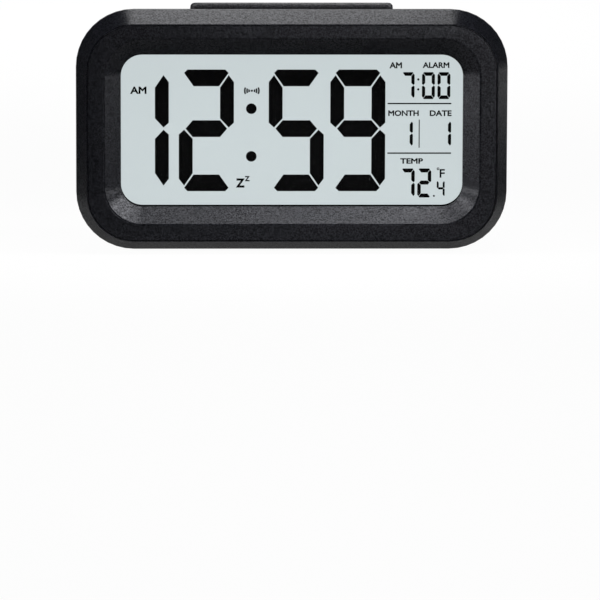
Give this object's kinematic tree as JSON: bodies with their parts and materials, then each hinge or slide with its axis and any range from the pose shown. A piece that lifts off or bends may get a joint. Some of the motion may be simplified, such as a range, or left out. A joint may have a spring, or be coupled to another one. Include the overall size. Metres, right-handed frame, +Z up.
{
  "type": "lcd alarm clock",
  "caption": "Battery-powered digital alarm clock with a framed liquid crystal display, a snooze bar on top, rear setting keys, a light-sensor switch and a battery door.",
  "frame": {"origin": "on the surface that the feet rest on, under the middle of the clock's box", "axes": "+X to the right seen from the front, +Y from the display to the back, +Z up"},
  "size_m": [0.134, 0.045, 0.0772],
  "materials": {
    "case_plastic": "fine matte texture",
    "bezel_plastic": "fine matte texture",
    "snooze_plastic": "fine matte texture",
    "key_plastic": "satin",
    "window_clear": "clear, polished",
    "lcd_glass": "satin polariser film",
    "segment_black": "matte",
    "guide_clear": "clear",
    "film_white": "matte",
    "led_resin": "gloss",
    "zebra_rubber": "matte",
    "board_green": "solder mask",
    "chip_resin": "satin",
    "can_metal": "satin",
    "capacitor_sleeve": "gloss",
    "screw_steel": "zinc plated",
    "switch_plastic": "satin",
    "stem_plastic": "satin",
    "ribbon_grey": "satin",
    "speaker_metal": "satin",
    "speaker_film": "clear film",
    "wire_sleeve": "satin",
    "contact_nickel": "nickel plated",
    "cell_jacket": "satin",
    "foot_rubber": "matte"
  },
  "bodies": {
    "case": {"rear_housing": "case_plastic", "front_bezel": "bezel_plastic", "display_window": "window_clear", "lcd_panel": "lcd_glass", "lcd_segments": "segment_black", "light_guide": "guide_clear", "reflector_film": "film_white", "backlight_leds": "led_resin", "zebra_connector": "zebra_rubber", "main_board": "board_green", "key_board": "board_green", "clock_chip": "chip_resin", "light_sensor": "chip_resin", "thermistor": "chip_resin", "quartz_crystal": "can_metal", "sensor_switch": "can_metal", "board_capacitor": "capacitor_sleeve", "board_screws": "screw_steel", "key_board_screws": "screw_steel", "case_screws": "screw_steel", "key_switches": "switch_plastic", "snooze_switch": "switch_plastic", "board_ribbon": "ribbon_grey", "speaker_frame": "speaker_metal", "speaker_cone": "speaker_film", "speaker_leads": "wire_sleeve", "battery_leads": "wire_sleeve", "contact_positive": "contact_nickel", "contact_negative": "contact_nickel", "contact_bridges": "contact_nickel", "battery_cell_1": "cell_jacket", "battery_cell_2": "cell_jacket", "battery_cell_3": "cell_jacket", "rubber_feet": "foot_rubber"},
    "snooze": {"snooze_bar": "snooze_plastic", "snooze_stem": "stem_plastic"},
    "mode_key": {"mode_button": "key_plastic", "mode_stem": "stem_plastic"},
    "set_key": {"set_button": "key_plastic", "set_stem": "stem_plastic"},
    "up_key": {"up_button": "key_plastic", "up_stem": "stem_plastic"},
    "down_key": {"down_button": "key_plastic", "down_stem": "stem_plastic"},
    "sensor_slide": {"sensor_knob": "key_plastic", "sensor_lever": "stem_plastic"},
    "door": {"battery_door": "case_plastic"}
  },
  "joints": [
    {"name": "snooze_press", "type": "slide", "parent": "case", "child": "snooze", "axis": [0, 0, -1], "range_m": [0, 0.0008], "stiffness_N_per_m": 200, "springref_m": -0.002},
    {"name": "mode_press", "type": "slide", "parent": "case", "child": "mode_key", "axis": [0, -1, 0], "range_m": [0, 0.0005], "stiffness_N_per_m": 200, "springref_m": -0.002},
    {"name": "set_press", "type": "slide", "parent": "case", "child": "set_key", "axis": [0, -1, 0], "range_m": [0, 0.0005], "stiffness_N_per_m": 200, "springref_m": -0.002},
    {"name": "up_press", "type": "slide", "parent": "case", "child": "up_key", "axis": [0, -1, 0], "range_m": [0, 0.0005], "stiffness_N_per_m": 200, "springref_m": -0.002},
    {"name": "down_press", "type": "slide", "parent": "case", "child": "down_key", "axis": [0, -1, 0], "range_m": [0, 0.0005], "stiffness_N_per_m": 200, "springref_m": -0.002},
    {"name": "sensor_shift", "type": "slide", "parent": "case", "child": "sensor_slide", "axis": [1, 0, 0], "range_m": [0, 0.003]},
    {"name": "door_swing", "type": "hinge", "parent": "case", "child": "door", "pos_m": [0, 0.0206, 0.009], "axis": [-1, 0, 0], "range_deg": [0, 80]}
  ]
}
